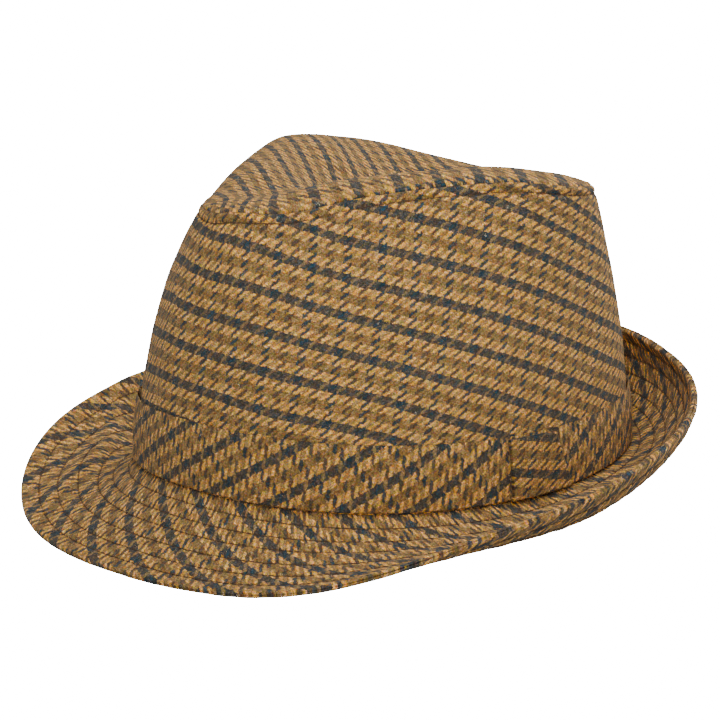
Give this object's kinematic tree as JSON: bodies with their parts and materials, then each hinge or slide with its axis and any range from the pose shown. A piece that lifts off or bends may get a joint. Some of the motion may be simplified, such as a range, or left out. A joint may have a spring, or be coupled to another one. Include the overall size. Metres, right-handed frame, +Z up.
{
  "type": "cloth fedora hat",
  "caption": "Tweed cloth trilby with a creased teardrop crown, self-fabric bias band with a small tab, and a short stitched brim, down in front and turned up at the sides and back.",
  "frame": {"origin": "the centre of the footprint of the overall box, on the surface that the hat rests on", "axes": "+Z up; -Y is the front of the hat; +X is the wearer's left, the side with the tab"},
  "size_m": [0.275, 0.269, 0.131],
  "materials": {
    "tweed": "wool tweed with a brown, gold and navy check, napped",
    "tweed_bias": "the same tweed cut on the bias and folded double",
    "tweed_tab": "the same tweed cut along the weft and folded double",
    "tweed_brim": "the same tweed, two layers stitched together in concentric rows"
  },
  "bodies": {
    "root": {"crown_side": "tweed", "crown_tip": "tweed", "band": "tweed_bias", "band_tab": "tweed_tab", "brim_upper": "tweed_brim", "brim_under": "tweed_brim"}
  },
  "joints": []
}
